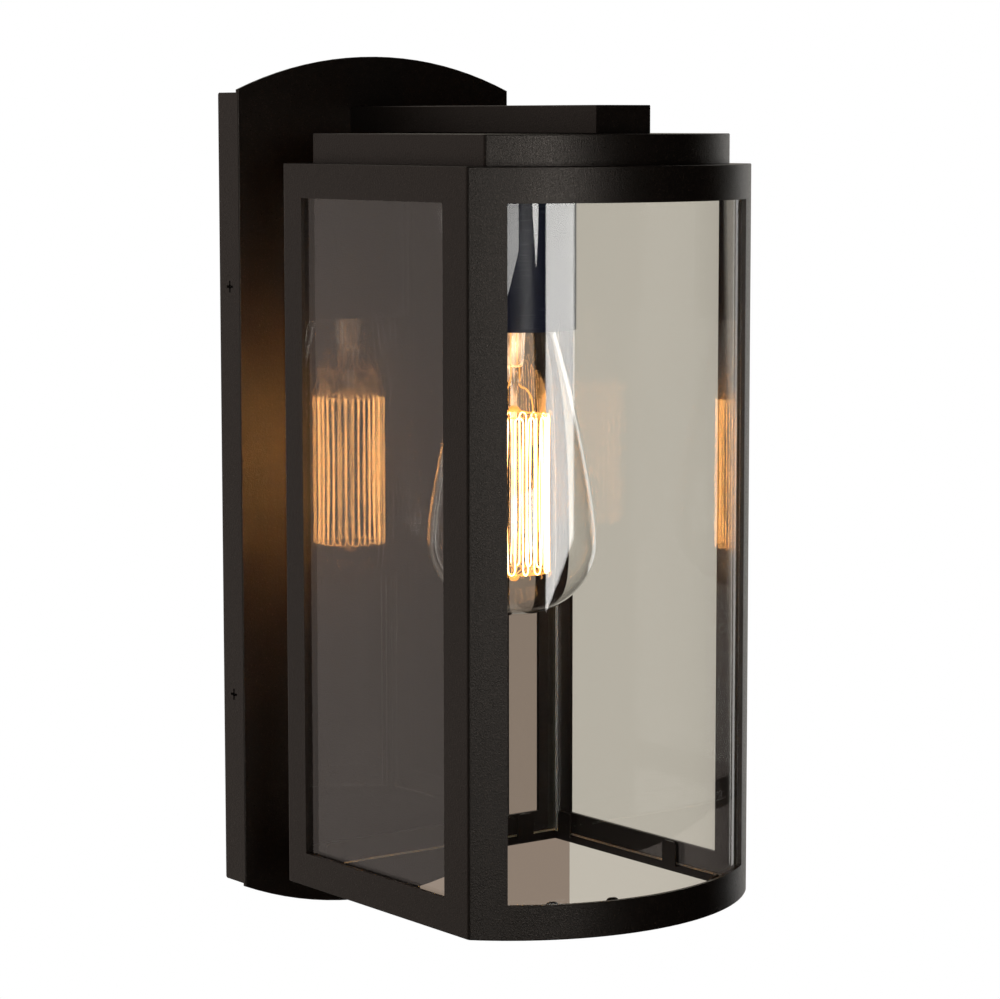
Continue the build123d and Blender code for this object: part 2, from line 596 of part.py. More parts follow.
# ---- leads ----
def lead(side):
    """An insulated lead from a terminal, up the nipple, back through the arm and down to its connector."""
    level = LEAD_LEVEL
    pan_y = LEAD_PAN_Y
    x = side * LEAD_OFFSET
    low = HOLDER_TOP + TERMINAL_SHEET
    points = [
        (side * TERMINAL_OFFSET, LAMP_Y, low),
        (side * TERMINAL_OFFSET, LAMP_Y, low + 4.5),
        (x, LAMP_Y, NIPPLE_BOTTOM + 1.0),
        (x, LAMP_Y, level),
        (x, pan_y, level),
        (side * CONNECTOR_OFFSET, pan_y, level - CONNECTOR_DROP / 2),
        (side * CONNECTOR_OFFSET, pan_y, level - CONNECTOR_DROP),
    ]
    path = FilletPolyline(*points, radius=[LEAD_BEND / 2, LEAD_BEND, LEAD_BEND, LEAD_DROP_BEND, LEAD_DROP_BEND])
    return sweep(Plane(origin=path @ 0, z_dir=path % 0) * Circle(LEAD_RADIUS), path=path)


def wire_connectors():
    """Two tapered twist-on connectors in the pan, on the ends of the leads."""
    level = LEAD_LEVEL - CONNECTOR_DROP
    shape = Pos(0, 0, -CONNECTOR_HEIGHT / 2) * Cone(CONNECTOR_RADIUS * 0.6, CONNECTOR_RADIUS, CONNECTOR_HEIGHT)
    shape = fillet(shape.edges().group_by(Axis.Z)[0], CONNECTOR_RADIUS * 0.3)
    return Compound(children=[
        Pos(side * CONNECTOR_OFFSET, LEAD_PAN_Y, level) * shape for side in (-1, 1)
    ])


# ---- lamp ----
def bulb_cap():
    """The screw cap: a thin shell with rounded ridges at the thread's pitch, open at both ends."""
    shell = rod(CAP_RADIUS - CAP_THREAD_DEPTH, CAP_RIM, CAP_END)
    turns = int((CAP_LENGTH - CAP_THREAD_PITCH) / CAP_THREAD_PITCH)
    for turn in range(turns):
        level = CAP_RIM + CAP_THREAD_PITCH * (turn + 1)
        ridge = Pos(0, 0, level) * Cylinder(CAP_RADIUS, CAP_THREAD_PITCH * 0.55)
        shell += fillet(ridge.edges(), CAP_THREAD_DEPTH)
    shell -= rod(CAP_RADIUS - CAP_THREAD_DEPTH - CAP_WALL, CAP_RIM - CUT, CAP_END + CUT)
    return at_lamp(shell)


def bulb_insulator():
    """The glass insulator between the cap and the tip."""
    wide = CAP_RADIUS - CAP_THREAD_DEPTH
    return at_lamp(turned([(0, CAP_END), (wide, CAP_END), (wide - 0.6, CAP_END + 0.9),
                           (INSULATOR_TOP_RADIUS, CAP_END + INSULATOR_HEIGHT),
                           (0, CAP_END + INSULATOR_HEIGHT)]))


def bulb_contact():
    """The solder tip."""
    tip = rod(LAMP_TIP_RADIUS, TIP_TOP - LAMP_TIP_HEIGHT, TIP_TOP)
    return at_lamp(fillet(tip.edges().group_by(Axis.Z)[-1], LAMP_TIP_HEIGHT * 0.6))


def bulb_outline(wall):
    """The lamp glass as a solid, a wall in from its outside: a neck, a long shoulder and an elliptical dome."""
    widest = CAP_RIM - LAMP_WIDEST
    points = [(radius - wall, CAP_RIM - below) for below, radius in LAMP_SHOULDERS]
    shoulder = Spline(*points, (LAMP_RADIUS - wall, widest), tangents=[LAMP_SHOULDER_LEAN, (0, -1)])
    dome = EllipticalCenterArc((0, widest), LAMP_RADIUS - wall, LAMP_DOME - wall, start_angle=270, arc_size=90)
    neck = Polyline((0, widest - LAMP_DOME + wall), (0, CAP_RIM + LAMP_NECK), (NECK_RADIUS - wall, CAP_RIM + LAMP_NECK),
                    (NECK_RADIUS - wall, CAP_RIM - wall / 2), points[0])
    return revolve(make_face(Plane.XZ * (neck + shoulder + dome)), Axis.Z)


def bulb_glass():
    """The blown envelope, open at its neck, where the cap holds it."""
    return at_lamp(bulb_outline(0) - bulb_outline(LAMP_GLASS))


def bulb_stem():
    """The flared stem and its rod through the middle of the cage."""
    flare_top = CAP_RIM + 1.0
    pinch = CAP_RIM - STEM_LENGTH
    rod_end = CAP_RIM - CAGE_TOP - CAGE_LENGTH - 4.0
    return at_lamp(turned([(0, flare_top), (STEM_FLARE, flare_top), (STEM_FLARE - 1.2, flare_top - 3.0),
                           (STEM_RADIUS, flare_top - 9.0), (STEM_RADIUS, pinch + 3.0),
                           (STEM_RADIUS / 2, pinch), (STEM_ROD_RADIUS, pinch - 3.0),
                           (STEM_ROD_RADIUS, rod_end), (0, rod_end)]))


def bulb_lead_wires():
    """The two supply wires from the stem to the top ring of the cage."""
    top = CAP_RIM - CAGE_TOP
    start = CAP_RIM - STEM_LENGTH + 3.0
    wires = []
    for side in (-1, 1):
        path = Polyline((side * (STEM_RADIUS + LEAD_WIRE_RADIUS), start), (side * CAGE_RADIUS / 2, start - 5.0),
                        (side * CAGE_RADIUS, top + 3.0), (side * CAGE_RADIUS, top + SUPPORT_RADIUS))
        path = Plane.XZ * path
        wires.append(sweep(Plane(origin=path @ 0, z_dir=path % 0) * Circle(LEAD_WIRE_RADIUS), path=path,
                           transition=Transition.ROUND))
    return at_lamp(Compound(children=wires))


def filament_supports():
    """A ring with spokes at each end of the cage, carried by the stem's rod."""
    supports = []
    for level in (CAP_RIM - CAGE_TOP, CAP_RIM - CAGE_TOP - CAGE_LENGTH):
        spider = Pos(0, 0, level) * Torus(CAGE_RADIUS, SUPPORT_RADIUS)
        spoke = Pos((CAGE_RADIUS + STEM_ROD_RADIUS) / 2, 0, 0) * Rot(0, 90, 0)
        spoke *= Cylinder(SUPPORT_RADIUS * 0.8, CAGE_RADIUS - STEM_ROD_RADIUS)
        for turn in range(6):
            spider += Pos(0, 0, level) * Rot(0, 0, 60 * turn) * spoke
        supports.append(spider)
    return at_lamp(Compound(children=supports))


def bulb_filament():
    """The glowing strands of the squirrel cage, upright between the two rings."""
    top = CAP_RIM - CAGE_TOP - SUPPORT_RADIUS
    bottom = CAP_RIM - CAGE_TOP - CAGE_LENGTH + SUPPORT_RADIUS
    strand = rod(FILAMENT_RADIUS, bottom, top, CAGE_RADIUS, 0)
    return at_lamp(Compound(children=[
        Rot(0, 0, 360 * (turn + 0.5) / CAGE_STRANDS) * strand for turn in range(CAGE_STRANDS)
    ]))


PIECES = {
    "wall_bracket": wall_bracket,
    "ground_screw": ground_screw,
    "backplate": backplate,
    "side_screws": side_screws,
    "arm": arm,
    "arm_end_block": arm_end_block,
    "arm_screws": arm_screws,
    "roof_upper": roof_upper,
    "roof_cap": roof_cap,
    "post_back_left": lambda: back_post(-1),
    "post_back_right": lambda: back_post(1),
    "post_front_left": lambda: front_post(-1),
    "post_front_right": lambda: front_post(1),
    "bottom_band": bottom_band,
    "glass_left": lambda: side_glass(-1),
    "glass_right": lambda: side_glass(1),
    "glass_back": back_glass,
    "glass_front": front_glass,
    "glass_tabs_bottom": glass_tabs_bottom,
    "glass_tabs_top": glass_tabs_top,
    "nipple": nipple,
    "nipple_nut": nipple_nut,
    "socket_cup": socket_cup,
    "socket_cover": socket_cover,
    "socket_body": socket_body,
    "socket_shell": socket_shell,
    "socket_centre_contact": socket_centre_contact,
    "socket_terminals": socket_terminals,
    "lead_live": lambda: lead(1),
    "lead_neutral": lambda: lead(-1),
    "wire_connectors": wire_connectors,
    "bulb_cap": bulb_cap,
    "bulb_insulator": bulb_insulator,
    "bulb_contact": bulb_contact,
    "bulb_glass": bulb_glass,
    "bulb_stem": bulb_stem,
    "bulb_lead_wires": bulb_lead_wires,
    "filament_supports": filament_supports,
    "bulb_filament": bulb_filament,
}

os.makedirs("parts", exist_ok=True)
for name, make in PIECES.items():
    export_step(make(), f"parts/{name}.step")
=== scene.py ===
"""Looks of the bow-front wall lantern: fine glass, lamp and wire meshes, and the finishes of every part."""

import json
import math

import bmesh
import bpy
import numpy as np
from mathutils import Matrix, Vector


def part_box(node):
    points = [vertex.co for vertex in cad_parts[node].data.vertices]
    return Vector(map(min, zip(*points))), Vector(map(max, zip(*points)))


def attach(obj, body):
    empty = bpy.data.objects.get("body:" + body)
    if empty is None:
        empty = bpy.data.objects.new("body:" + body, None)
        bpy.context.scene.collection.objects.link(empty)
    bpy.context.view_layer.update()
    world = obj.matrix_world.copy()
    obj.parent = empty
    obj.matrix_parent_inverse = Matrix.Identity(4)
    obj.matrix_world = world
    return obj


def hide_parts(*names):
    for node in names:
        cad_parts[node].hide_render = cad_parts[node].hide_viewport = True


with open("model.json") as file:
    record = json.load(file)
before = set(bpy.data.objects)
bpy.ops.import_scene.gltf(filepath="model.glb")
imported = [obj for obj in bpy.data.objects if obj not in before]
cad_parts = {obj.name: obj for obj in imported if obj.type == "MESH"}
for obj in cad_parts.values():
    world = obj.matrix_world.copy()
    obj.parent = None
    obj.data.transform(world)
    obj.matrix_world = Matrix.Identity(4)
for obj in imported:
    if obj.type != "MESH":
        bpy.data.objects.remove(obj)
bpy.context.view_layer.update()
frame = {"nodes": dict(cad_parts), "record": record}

MM = 0.001
TAU = 2 * math.pi


# ---- places read from the frame ----
def low(node):
    """A node's lowest corner, as an array."""
    return np.array(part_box(node)[0])


def high(node):
    """A node's highest corner, as an array."""
    return np.array(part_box(node)[1])


LAMP_X = 0.0
LAMP_Y = float(low("bulb_glass")[1] + high("bulb_glass")[1]) / 2
CAP_RIM = float(low("bulb_cap")[2])
CAP_END = float(high("bulb_cap")[2])
LAMP_BOTTOM = float(low("bulb_glass")[2])


# ---- shader maths ----
class Value:
    """A shader socket in an expression. Arithmetic on it adds Math nodes."""

    def __init__(self, finish, socket):
        self.finish = finish
        self.socket = socket

    def math(self, operation, *terms):
        """One Math node over the terms."""
        made = self.finish.node("ShaderNodeMath", {"operation": operation}, dict(enumerate(terms)))
        return Value(self.finish, made.outputs[0])

    def __add__(self, other):
        return self.math("ADD", self, other)

    __radd__ = __add__

    def __sub__(self, other):
        return self.math("SUBTRACT", self, other)

    def __rsub__(self, other):
        return self.math("SUBTRACT", other, self)

    def __mul__(self, other):
        return self.math("MULTIPLY", self, other)

    __rmul__ = __mul__


class Finish:
    """The nodes of one material, or of the world, and the material or world that they make."""

    place_from = "Object"
    output = "ShaderNodeOutputMaterial"

    def __init__(self, name):
        self.made = self.blank(name)
        self.made.use_nodes = True
        self.tree = self.made.node_tree
        self.tree.nodes.clear()
        self.place = self.out(self.node("ShaderNodeTexCoord"), self.place_from)

    def blank(self, name):
        """A new material."""
        return bpy.data.materials.new(name)

    def node(self, kind, settings=None, sockets=None):
        """Adds a node, sets its settings, a ramp's stops among them, then its sockets' values or links."""
        made = self.tree.nodes.new(kind)
        for key, value in (settings or {}).items():
            if key == "stops":
                for element, (position, shade) in zip(ramp_elements(made, len(value)), value):
                    element.position = position
                    element.color = (*shade, 1.0) if hasattr(shade, "__len__") else (shade, shade, shade, 1.0)
            else:
                setattr(made, key, value)
        for key, value in (sockets or {}).items():
            if isinstance(value, Value):
                self.tree.links.new(value.socket, made.inputs[key])
            else:
                made.inputs[key].default_value = value
        return made

    def out(self, made, name=0):
        """A node's output as a Value."""
        return Value(self, made.outputs[name])

    def noise(self, size, detail=2.0, stretch=(1, 1, 1), roughness=0.5):
        """Noise with blobs of about this size in metres, stretched along each axis."""
        place = self.node("ShaderNodeMapping", None, {
            "Vector": self.place, "Scale": tuple(1 / s for s in stretch)})
        made = self.node("ShaderNodeTexNoise", None, {
            "Vector": self.out(place), "Scale": 1 / size, "Detail": detail, "Roughness": roughness})
        return self.out(made, "Fac")

    def ramp(self, value, *stops):
        """A colour ramp over a value."""
        return self.out(self.node("ShaderNodeValToRGB", {"stops": stops}, {"Fac": value}), "Color")

    def mix(self, share, first, second):
        """The first colour, giving way to the second as the share goes from 0 to 1."""
        made = self.node("ShaderNodeMix", {"data_type": "RGBA"}, {0: share, 6: first, 7: second})
        return self.out(made, 2)

    def span(self, value, low_in, high_in, low_out, high_out):
        """A value moved from one range to another, held at its ends."""
        return self.out(self.node("ShaderNodeMapRange", {"clamp": True}, {
            "Value": value, "From Min": low_in, "From Max": high_in, "To Min": low_out, "To Max": high_out}))

    def bump(self, height, depth):
        """A bump of this depth in metres."""
        return self.out(self.node("ShaderNodeBump", None, {
            "Height": height, "Distance": depth, "Strength": 1.0}), "Normal")

    def surface(self, **sockets):
        """The Principled shader, with names such as Base_Color for its sockets."""
        named = {name.replace("_", " "): value for name, value in sockets.items()}
        return self.out(self.node("ShaderNodeBsdfPrincipled", None, named))

    def light(self, colour, strength=1.0):
        """A shader that gives off light."""
        return self.out(self.node("ShaderNodeEmission", None, {"Color": colour, "Strength": strength}))

    def seen_and_lit(self, seen, lit):
        """One shader for what the camera sees directly and another for all other rays."""
        path = self.node("ShaderNodeLightPath")
        both = self.node("ShaderNodeMixShader", None, {0: self.out(path, "Is Camera Ray"), 1: lit, 2: seen})
        return self.out(both)

    def close(self, shader):
        """Joins the shader to the output and gives the material or world."""
        self.node(self.output, None, {"Surface": shader})
        return self.made


class Surround(Finish):
    """The world's nodes. Their place is the direction looked in."""

    place_from = "Generated"
    output = "ShaderNodeOutputWorld"

    def blank(self, name):
        """A new world."""
        return bpy.data.worlds.new(name)


def ramp_elements(made, count):
    """A ramp's elements, as many as asked."""
    elements = made.color_ramp.elements
    while len(elements) < count:
        elements.new(1.0)
    return elements


# ---- finishes ----
COAT_GRAIN = 0.62 * MM  # the powder coat's grains
COAT_FLECK = 0.42 * MM  # the grains with a painted glint
COAT_MOTTLE = 9 * MM
COAT_SHADES = ((0.0018, 0.0011, 0.0008), (0.0048, 0.0030, 0.0020))
# painted glint: the flecks' lighter colour stands in for the sparkle of light on them
COAT_PAINTED_GLINT = (0.18, 0.13, 0.10)
COAT_SHEEN = (1.0, 0.91, 0.84)  # tint of its gloss
WIRE_METAL = (0.3, 0.2, 0.1)  # a hot wire's own colour, under its glow


def powder_coat(name, base, painted_glint, roughness, texture):
    """Sandy powder coat: grains of baked paint in relief over faint mottling, with a painted glint on some of
    the grains.
    """
    f = Finish(name)
    grain = f.noise(COAT_GRAIN, 3.0, roughness=0.62)
    fleck = f.noise(COAT_FLECK, 1.0)
    mottle = f.noise(COAT_MOTTLE, 2.0)
    shade = f.ramp(0.75 * grain + 0.25 * mottle, (0.32, base[0]), (0.60, base[1]))
    painted_glint_flecks = f.span(fleck, 0.62, 0.74, 0.0, 1.0)
    # painted glint: flecks lightened towards the glint colour, and made a little smoother
    colour = f.mix(painted_glint_flecks * 0.25, shade, (*painted_glint, 1))
    rough = f.span(grain, 0.3, 0.7, roughness + 0.1, roughness - 0.1) - 0.12 * painted_glint_flecks
    relief = grain + 0.5 * fleck
    return f.close(f.surface(Base_Color=colour, Roughness=rough, Specular_IOR_Level=0.40,
                             Specular_Tint=(*COAT_SHEEN, 1), Normal=f.bump(relief, texture)))


def satin_paint(name, base, scuff):
    """Satin paint with fine scuffs that run round the cup."""
    f = Finish(name)
    rub = f.noise(1.5 * MM, 4.0, stretch=(9, 9, 0.35), roughness=0.7)
    cloud = f.noise(14 * MM, 2.0)
    worn = f.span(rub * cloud, 0.30, 0.42, 0.0, 1.0)
    colour = f.mix(worn * 0.6, (*base, 1), (*scuff, 1))
    grain = f.noise(0.4 * MM, 2.0)
    return f.close(f.surface(Base_Color=colour, Roughness=0.30 + 0.2 * worn, Specular_IOR_Level=0.25,
                             Normal=f.bump(grain + 0.4 * rub, 0.02 * MM)))


def metal(name, colour, roughness, stretch=(1, 1, 1)):
    """Plated or rolled metal with fine scratches along the stretch and faint stains."""
    f = Finish(name)
    line = f.noise(0.35 * MM, 3.0, stretch=stretch, roughness=0.65)
    stain = f.noise(6 * MM, 3.0)
    dark = tuple(c * 0.72 for c in colour)
    shade = f.ramp(0.5 * line + 0.5 * stain, (0.35, dark), (0.6, colour))
    rough = f.span(line, 0.3, 0.7, roughness - 0.06, roughness + 0.1)
    return f.close(f.surface(Base_Color=shade, Metallic=1.0, Roughness=rough, Normal=f.bump(line, 0.01 * MM)))


def moulded(name, colour, roughness):
    """Moulded plastic or sleeve with a faint grain and cloudiness."""
    f = Finish(name)
    grain = f.noise(0.5 * MM, 2.0)
    cloud = f.noise(7 * MM, 2.0)
    pale = tuple(min(1.0, c * 1.25 + 0.004) for c in colour)
    shade = f.ramp(cloud, (0.35, colour), (0.68, pale))
    return f.close(f.surface(Base_Color=shade, Roughness=f.span(grain, 0.3, 0.7, roughness, roughness + 0.12),
                             Normal=f.bump(grain, 0.015 * MM)))


def clear_glass(name, tint, ior, roughness=0.0):
    """Clear glass that lets the rays of lamps through."""
    f = Finish(name)
    glass = f.surface(Base_Color=(*tint, 1), Roughness=roughness, IOR=ior, Transmission_Weight=1.0)
    through = f.node("ShaderNodeBsdfTransparent", None, {"Color": (*tint, 1)})
    path = f.node("ShaderNodeLightPath")
    both = f.node("ShaderNodeMixShader", None, {0: f.out(path, "Is Shadow Ray"), 1: glass, 2: f.out(through)})
    return f.close(f.out(both))


def lit_glass(name, tint, ior, glow, strength):
    """Fused glass close to the hot wires, with a painted glow: faint blotches of emission that stand in for
    the wires' light caught in the glass.
    """
    f = Finish(name)
    painted_glow_noise = f.noise(3.5 * MM, 3.0, stretch=(1, 1, 3))
    # painted glow: the glass gives off orange light in blotches
    light = f.ramp(painted_glow_noise, (0.38, (0, 0, 0)), (0.66, glow))
    return f.close(f.surface(Base_Color=(*tint, 1), Roughness=0.02, IOR=ior, Transmission_Weight=1.0,
                             Emission_Color=light, Emission_Strength=strength))


def glowing(name, colour, strength):
    """Hot wire, a little uneven in its heat. Given to the support and lead wires too, which are no lamp:
    there the glow is painted.
    """
    f = Finish(name)
    heat = f.noise(5 * MM, 2.0)
    cool = tuple(c * s for c, s in zip(colour, (1.0, 0.88, 0.7)))
    shade = f.ramp(heat, (0.4, cool), (0.62, colour))
    return f.close(f.surface(Base_Color=(*WIRE_METAL, 1), Roughness=0.5, Emission_Color=shade,
                             Emission_Strength=strength))


FINISHES = {
    "black_powder_coat": powder_coat("black_powder_coat", COAT_SHADES, COAT_PAINTED_GLINT, 0.37, 0.10 * MM),
    "cup_paint": satin_paint("cup_paint", (0.016, 0.019, 0.042), (0.07, 0.078, 0.12)),
    "zinc_steel": metal("zinc_steel", (0.62, 0.62, 0.59), 0.34, (8, 1, 1)),
    "green_steel": metal("green_steel", (0.04, 0.32, 0.12), 0.36),
    "window_glass": clear_glass("window_glass", (0.985, 0.99, 0.982), 1.5),
    "window_glass_edge": clear_glass("window_glass_edge", (0.70, 0.80, 0.66), 1.5, 0.3),
    "phenolic": moulded("phenolic", (0.018, 0.017, 0.016), 0.32),
    "brass": metal("brass", (0.78, 0.58, 0.26), 0.3),
    "cap_metal": metal("cap_metal", (0.86, 0.80, 0.66), 0.22, (6, 6, 1)),
    "solder": metal("solder", (0.60, 0.60, 0.60), 0.4),
    "lamp_glass": clear_glass("lamp_glass", (0.99, 0.985, 0.97), 1.47),
    "filament_wire": glowing("filament_wire", (1.0, 0.49, 0.165), 32.0),
    # the support and lead wires get a faint painted glow, standing in for the filament's light on them
    "support_wire_painted_glow": glowing("support_wire_painted_glow", (1.0, 0.42, 0.10), 1.3),
    "lead_black": moulded("lead_black", (0.018, 0.018, 0.018), 0.42),
    "lead_white": moulded("lead_white", (0.76, 0.75, 0.70), 0.42),
    "connector_plastic": moulded("connector_plastic", (0.66, 0.22, 0.03), 0.38),
}
# the stem glass's faint orange emission is painted glow, not a lamp
STEM_GLASS = lit_glass("stem_glass", (0.97, 0.93, 0.88), 1.5, (1.0, 0.66, 0.42), 0.5)


def slot_of(node):
    """The material slot that the record gives a node."""
    return next(s["material_slot"] for s in frame["record"]["subparts"] if s["node"] == node)


def dress_cad_nodes():
    """Gives every CAD node the finish of its slot."""
    for name, node in frame["nodes"].items():
        node.data.materials.clear()
        node.data.materials.append(FINISHES[slot_of(name)])


# ---- meshes ----
def net(points, wrap_u=False, wrap_v=False):
    """Vertices and quads of a grid of points, shape (u, v, 3), joined round where a direction wraps."""
    nu, nv = points.shape[:2]
    index = np.arange(nu * nv).reshape(nu, nv)
    if wrap_u:
        index = np.vstack([index, index[:1]])
    if wrap_v:
        index = np.hstack([index, index[:, :1]])
    quads = np.stack([index[:-1, :-1], index[1:, :-1], index[1:, 1:], index[:-1, 1:]], -1)
    return points.reshape(-1, 3), quads.reshape(-1, 4)


def together(parts):
    """Several nets as one."""
    starts = np.cumsum([0] + [len(v) for v, _ in parts[:-1]])
    return np.vstack([v for v, _ in parts]), np.vstack([q + s for (_, q), s in zip(parts, starts)])


def piece(name, shape, body, slot, nodes, finishes=None, pick=None, crease=None):
    """A finished piece: its net, merged where points meet, riding on a body in place of CAD nodes.
    pick gives each quad's finish from the quads' centres, and crease is the angle that stays sharp."""
    vertices, quads = shape
    mesh = bpy.data.meshes.new(name)
    mesh.from_pydata(vertices.tolist(), [], quads.tolist())
    for finish in finishes or [FINISHES[slot]]:
        mesh.materials.append(finish)
    if pick is not None:
        centres = vertices[quads].mean(1)
        mesh.polygons.foreach_set("material_index", pick(centres).astype(np.int32))
    work = bmesh.new()
    work.from_mesh(mesh)
    bmesh.ops.remove_doubles(work, verts=work.verts, dist=1e-6)
    bmesh.ops.recalc_face_normals(work, faces=work.faces)
    work.to_mesh(mesh)
    work.free()
    mesh.shade_smooth()
    made = bpy.data.objects.new(name, mesh)
    bpy.context.scene.collection.objects.link(made)
    if crease is not None:
        mesh.set_sharp_from_angle(angle=math.radians(crease))
    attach(made, body)
    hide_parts(*nodes)
    return made


def turned(radius, height, sides):
    """A surface of revolution about the lamp's axis: every point of the profile carried round the circle."""
    turn = np.linspace(0, TAU, sides, endpoint=False)
    ring = np.stack([np.cos(turn), np.sin(turn)], -1)
    points = np.empty((len(radius), sides, 3))
    points[..., :2] = radius[:, None, None] * ring + (LAMP_X, LAMP_Y)
    points[..., 2] = height[:, None]
    return net(points, wrap_v=True)


def tube(path, radius, sides=8, ahead=(0.0, 0.0, 1.0), closed=False):
    """A round tube: at each point of the path, a circle square to it, laid out from a steady direction."""
    radius = np.broadcast_to(radius, len(path))
    along = np.gradient(path, axis=0)
    if closed:
        along = np.roll(path, -1, 0) - np.roll(path, 1, 0)
    along /= np.linalg.norm(along, axis=1, keepdims=True)
    side = np.cross(along, np.asarray(ahead, float))
    side /= np.linalg.norm(side, axis=1, keepdims=True)
    rise = np.cross(side, along)
    turn = np.linspace(0, TAU, sides, endpoint=False)
    spread = side[:, None] * np.cos(turn)[:, None] + rise[:, None] * np.sin(turn)[:, None]
    points = path[:, None] + spread * radius[:, None, None]
    if closed:
        return net(points, wrap_u=True, wrap_v=True)
    ends = np.concatenate([path[:1, None].repeat(sides, 1), points, path[-1:, None].repeat(sides, 1)])
    return net(ends, wrap_v=True)


def smooth_path(corners, count):
    """A curve through the corners: a Catmull-Rom spline, cubic between each two of them."""
    p = np.asarray(corners, float)
    p = np.vstack([2 * p[0] - p[1], p, 2 * p[-1] - p[-2]])
    t = np.linspace(0, len(p) - 3, count)
    i = np.minimum(t.astype(int), len(p) - 4)
    s = (t - i)[:, None]
    a, b, c, d = p[i], p[i + 1], p[i + 2], p[i + 3]
    return 0.5 * (2 * b + (c - a) * s + (2 * a - 5 * b + 4 * c - d) * s**2 + (3 * b - a - 3 * c + d) * s**3)


def rounded_slab(line, across, thickness, z0, z1, arris, steps=4):
    """A pane on its middle line in plan. Across each point it is as thick as asked, less a quarter circle of
    the arris's radius towards the line's two ends and towards its lower and upper edge. The last rings
    close on the middle line."""
    run = np.concatenate([[0.0], np.cumsum(np.linalg.norm(np.diff(line, axis=0), axis=1))])
    from_end = np.minimum(np.minimum(run, run[-1] - run), arris)
    end_round = arris - np.sqrt(arris**2 - (arris - from_end) ** 2)
    turn = np.linspace(0, math.pi / 2, steps)
    edge_round = arris * (1 - np.cos(turn))
    edge_level = arris * (1 - np.sin(turn))
    rounds = np.concatenate([edge_round[::-1], edge_round])
    levels = np.concatenate([z0 + edge_level[::-1], z1 - edge_level])
    half = thickness / 2 - np.maximum(end_round, rounds[:, None])
    side = across * half[..., None]
    plan = np.concatenate([line + side, (line - side)[:, ::-1]], axis=1)
    middle = np.concatenate([line, line[::-1]])[None]
    plan = np.concatenate([middle, plan, middle])
    levels = np.concatenate([[z0], levels, [z1]])
    tall = np.broadcast_to(levels[:, None, None], (*plan.shape[:2], 1))
    return net(np.concatenate([plan, tall], axis=2), wrap_v=True)


def graded(start, end, arris, count):
    """Places from start to end, close together within an arris of each."""
    near = arris * (1 - np.cos(np.linspace(0, math.pi / 2, 4)))[:-1]
    middle = np.linspace(start + arris, end - arris, count)
    return np.concatenate([start + near, middle, end - near[::-1]])


# ---- the four panes ----
ARRIS = 0.35 * MM
PANE_THICKNESS = float(high("glass_back")[1] - low("glass_back")[1])
BOW_RADIUS = 90.1 * MM  # outside of the bent pane
PANE_FINISHES = [FINISHES["window_glass_edge"], FINISHES["window_glass"]]


def flat_pane(name):
    """A flat pane with its edges rounded, in the box of its CAD node."""
    first, last = low(name), high(name)
    run = 0 if last[0] - first[0] > last[1] - first[1] else 1
    cross = 1 - run
    along = graded(first[run], last[run], ARRIS, 12)
    middle = (first[cross] + last[cross]) / 2
    thick = last[cross] - first[cross]
    line = np.empty((len(along), 2))
    line[:, run] = along
    line[:, cross] = middle
    across = np.zeros((1, 2))
    across[0, cross] = 1.0
    shape = rounded_slab(line, across, thick, first[2], last[2], ARRIS)
    return piece(name + "_pane", shape, "lantern", "window_glass", [name], PANE_FINISHES,
                 pick=lambda c: np.abs(c[:, cross] - middle) > thick / 2 - 0.01 * MM, crease=12)


def bow_pane(name, thick):
    """The bent pane: an arc about the bow's centre, from end to end of its CAD node's box."""
    first, last = low(name), high(name)
    radius = BOW_RADIUS
    centre = first[1] + radius
    turn = math.asin(last[0] / radius)
    reach = graded(-turn * radius, turn * radius, ARRIS, 64) / radius
    out = np.stack([np.sin(reach), -np.cos(reach)], -1)
    line = (0.0, centre) + out * (radius - thick / 2)
    shape = rounded_slab(line, out, thick, first[2], last[2], ARRIS)
    return piece(name + "_pane", shape, "lantern", "window_glass", [name], PANE_FINISHES,
                 pick=lambda c: np.abs(np.hypot(c[:, 0], c[:, 1] - centre) - radius + thick / 2)
                 > thick / 2 - 0.03 * MM, crease=12)


for pane_name in ("glass_left", "glass_right", "glass_back"):
    flat_pane(pane_name)
bow_pane("glass_front", PANE_THICKNESS)


# ---- the lamp ----
LAMP_WALL = 0.8 * MM
LAMP_WIDEST = CAP_RIM - 88.4 * MM
LAMP_DOME = LAMP_WIDEST - LAMP_BOTTOM
NECK_RADIUS = 12.08 * MM
NECK_TOP = float(high("bulb_glass")[2])
SHOULDER_BELOW = np.array([3.0, 7.4, 33.4, 64.4, 88.4]) * MM  # down from the cap's rim
SHOULDER_RADIUS = np.array([14.6, 15.9, 22.8, 29.3, 32.0]) * MM
NECK_SLOPE = 0.2  # how fast the glass widens at the neck
SHOULDER_SLOPE = 0.32  # and where the shoulder starts
CAGE_RADIUS = 13.5 * MM
CAGE_TOP = CAP_RIM - 39 * MM
CAGE_BOTTOM = CAGE_TOP - 60 * MM
ROD_RADIUS = 1.1 * MM
ROD_END = float(low("bulb_stem")[2])
STEM_TOP = float(high("bulb_stem")[2])
STEM_BELOW = np.array([0.0, 1.2, 3.2, 6.5, 10.0, 16.0, 21.0, 24.0, 26.5, 28.5, 30.5]) * MM  # from its top
STEM_RADIUS = np.array([8.5, 7.4, 6.1, 4.9, 4.3, 4.1, 4.1, 4.0, 3.3, 1.9, 1.15]) * MM
STEM_SLOPE = -0.9  # how fast the flare narrows at its top
STEM_WALL = 0.9 * MM
STEM_HOLLOW = 22 * MM  # depth of the tube's inside
STEM_WIRE = np.array([[2.1, 0, 68], [2.2, 0, 60], [2.3, 0, 52], [2.6, 0, 47.5], [4.6, 0, 44.6],
                      [8.6, 0, 43.4], [11.9, 0, 40.5], [13.3, 0, 36.8], [13.5, 0, 34.4]]) * MM
